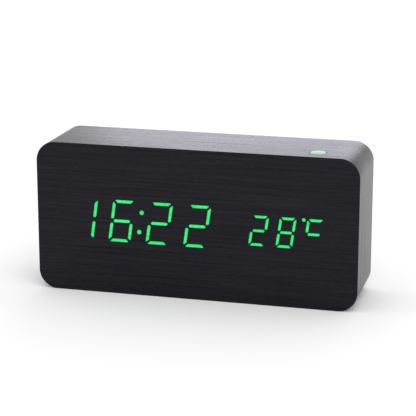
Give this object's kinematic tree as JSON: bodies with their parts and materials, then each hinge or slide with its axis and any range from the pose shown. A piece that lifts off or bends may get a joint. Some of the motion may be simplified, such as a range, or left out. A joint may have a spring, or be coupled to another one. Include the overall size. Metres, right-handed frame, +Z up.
{
  "type": "digital led desk clock",
  "caption": "Low black woodgrain-film block clock with rounded corners, lit green time and temperature digits, a round top button and a rear battery door.",
  "frame": {"origin": "middle of the underside that the clock stands on", "axes": "+X to the right seen from the front, +Y to the back, +Z up; the display faces -Y"},
  "size_m": [0.15, 0.038, 0.0706],
  "materials": {
    "wrapped_board": "black woodgrain film on fibre board",
    "woodgrain_film": "satin black woodgrain film",
    "fibre_board": "bare fibre board",
    "lit_green": "lit green light guide",
    "milky_guide": "unlit milky light guide",
    "white_moulding": "white moulding",
    "circuit_board": "green solder mask",
    "light_chip": "clear resin",
    "plated_steel": "black zinc plate",
    "chip_plastic": "moulded epoxy",
    "bright_can": "bright can",
    "black_moulding": "fine textured moulding",
    "connector_plastic": "plain moulding",
    "cell_jacket": "plain printed jacket",
    "nickel_contact": "nickel plate",
    "gold_pin": "gold flash",
    "red_wire": "plain insulation",
    "black_wire": "plain insulation",
    "grey_wire": "plain insulation",
    "plunger_plastic": "plain moulding",
    "sensor_bead": "dipped epoxy",
    "pale_green_cap": "gloss moulding"
  },
  "bodies": {
    "clock_case": {"case_sleeve": "wrapped_board", "back_panel": "wrapped_board", "front_film": "woodgrain_film", "front_panel": "fibre_board", "time_segments": "lit_green", "temperature_segments": "lit_green", "unlit_segments": "milky_guide", "display_housing": "white_moulding", "snooze_spacers": "white_moulding", "display_board": "circuit_board", "control_board": "circuit_board", "snooze_board": "circuit_board", "segment_leds": "light_chip", "display_screws": "plated_steel", "rear_cover_screws": "plated_steel", "control_screws": "plated_steel", "snooze_screws": "plated_steel", "controller_chip": "chip_plastic", "driver_chips": "chip_plastic", "clock_crystal": "bright_can", "supply_capacitor": "bright_can", "coin_cell": "bright_can", "microphone": "bright_can", "rear_cover": "black_moulding", "coin_cell_holder": "connector_plastic", "header_socket": "connector_plastic", "header_strip": "connector_plastic", "snooze_connector": "connector_plastic", "supply_inlet": "connector_plastic", "buzzer": "connector_plastic", "tact_switches": "connector_plastic", "snooze_switch": "connector_plastic", "battery_cells": "cell_jacket", "contact_plates": "nickel_contact", "contact_springs": "nickel_contact", "header_pins": "gold_pin", "supply_inlet_pin": "gold_pin", "plus_lead": "red_wire", "minus_lead": "black_wire", "snooze_lead": "grey_wire", "temperature_sensor": "sensor_bead"},
    "battery_door": {"battery_door": "black_moulding"},
    "set_button": {"set_button": "black_moulding", "set_plunger": "plunger_plastic"},
    "up_button": {"up_button": "black_moulding", "up_plunger": "plunger_plastic"},
    "down_button": {"down_button": "black_moulding", "down_plunger": "plunger_plastic"},
    "snooze_button": {"snooze_button": "pale_green_cap", "snooze_plunger": "plunger_plastic"}
  },
  "joints": [
    {"name": "battery_door_hinge", "type": "hinge", "parent": "clock_case", "child": "battery_door", "pos_m": [0.0191, 0.0172, 0.01505], "axis": [-1, 0, 0], "range_deg": [0, 80]},
    {"name": "set_press", "type": "slide", "parent": "clock_case", "child": "set_button", "axis": [0, -1, 0], "range_m": [0, 0.0005], "stiffness_N_per_m": 800, "springref_m": -0.0015},
    {"name": "up_press", "type": "slide", "parent": "clock_case", "child": "up_button", "axis": [0, -1, 0], "range_m": [0, 0.0005], "stiffness_N_per_m": 800, "springref_m": -0.0015},
    {"name": "down_press", "type": "slide", "parent": "clock_case", "child": "down_button", "axis": [0, -1, 0], "range_m": [0, 0.0005], "stiffness_N_per_m": 800, "springref_m": -0.0015},
    {"name": "snooze_press", "type": "slide", "parent": "clock_case", "child": "snooze_button", "axis": [0, 0, -1], "range_m": [0, 0.0005], "stiffness_N_per_m": 800, "springref_m": -0.0015}
  ]
}
